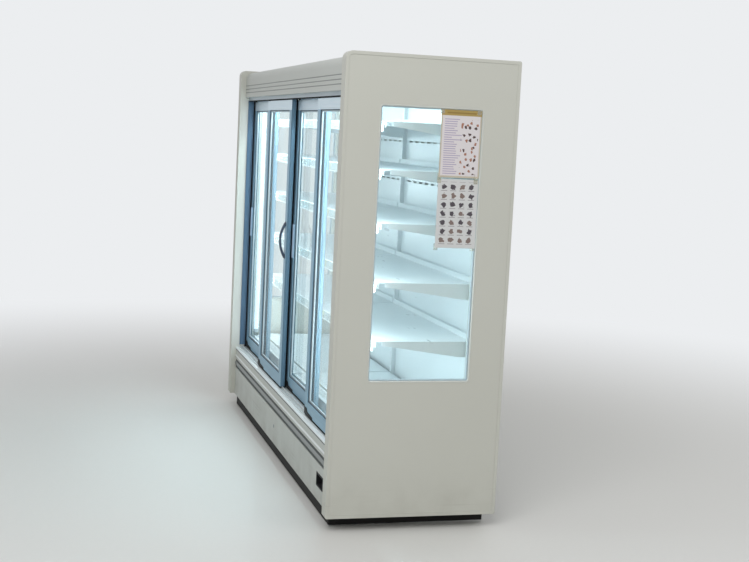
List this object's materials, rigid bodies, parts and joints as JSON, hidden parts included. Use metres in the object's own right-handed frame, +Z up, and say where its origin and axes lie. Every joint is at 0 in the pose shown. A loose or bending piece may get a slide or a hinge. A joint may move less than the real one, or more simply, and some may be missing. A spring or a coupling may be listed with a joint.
{
  "type": "refrigerated display cabinet with sliding glass doors",
  "caption": "Upright refrigerated display cabinet with sliding glass doors, glazed end panels, lit shelves with ticket rails and a recessed black plinth.",
  "frame": {"origin": "middle of the footprint, on the floor", "axes": "+X along the front to the right, +Y from the front to the back, +Z up"},
  "size_m": [2.63, 0.755, 2],
  "materials": {
    "outer_paint": "satin",
    "panel_paint": "satin",
    "inner_paint": "gloss",
    "black_sheet": "matt",
    "black_plastic": "matt",
    "zinc_steel": "dull",
    "grey_profile": "satin",
    "sill_white": "gloss",
    "track_aluminium": "satin",
    "door_aluminium": "satin",
    "white_plastic": "satin",
    "lamp_cover": "gloss",
    "clear_glass": "polished",
    "window_rubber": "matt",
    "dark_pull": "satin",
    "light_pull": "satin"
  },
  "bodies": {
    "cabinet": {"feet": "black_plastic", "base_frame": "zinc_steel", "plinth": "black_sheet", "kick_panel": "outer_paint", "switch_box": "black_plastic", "bumper_rail": "grey_profile", "front_fascia": "outer_paint", "sill": "sill_white", "lower_track": "track_aluminium", "tub": "inner_paint", "deck_pans": "inner_paint", "air_return_grille": "inner_paint", "back_wall": "outer_paint", "rear_duct": "inner_paint", "roof": "outer_paint", "header": "inner_paint", "canopy": "outer_paint", "upper_track": "track_aluminium", "air_discharge": "white_plastic", "lamp": "lamp_cover", "light_strips": "lamp_cover", "end_panel_left": "panel_paint", "end_panel_right": "panel_paint", "end_window_glass": "clear_glass", "end_window_trims": "window_rubber", "shelf_uprights": "inner_paint", "shelf_brackets": "inner_paint", "ticket_rails": "white_plastic", "shelf_1": "inner_paint", "shelf_2": "inner_paint", "shelf_3": "inner_paint", "shelf_4": "inner_paint", "shelf_5": "inner_paint"},
    "door_1": {"door_1_frame": "door_aluminium", "door_1_glass": "clear_glass", "door_1_pull": "light_pull"},
    "door_2": {"door_2_frame": "door_aluminium", "door_2_glass": "clear_glass", "door_2_pull": "dark_pull"},
    "door_3": {"door_3_frame": "door_aluminium", "door_3_glass": "clear_glass", "door_3_pull": "light_pull"},
    "door_4": {"door_4_frame": "door_aluminium", "door_4_glass": "clear_glass", "door_4_pull": "dark_pull"}
  },
  "joints": [
    {"name": "door_1_slide", "type": "slide", "parent": "cabinet", "child": "door_1", "axis": [1, 0, 0], "range_m": [0, 0.56]},
    {"name": "door_2_slide", "type": "slide", "parent": "cabinet", "child": "door_2", "axis": [-1, 0, 0], "range_m": [0, 0.56]},
    {"name": "door_3_slide", "type": "slide", "parent": "cabinet", "child": "door_3", "axis": [1, 0, 0], "range_m": [0, 0.56]},
    {"name": "door_4_slide", "type": "slide", "parent": "cabinet", "child": "door_4", "axis": [-1, 0, 0], "range_m": [0, 0.56]}
  ]
}
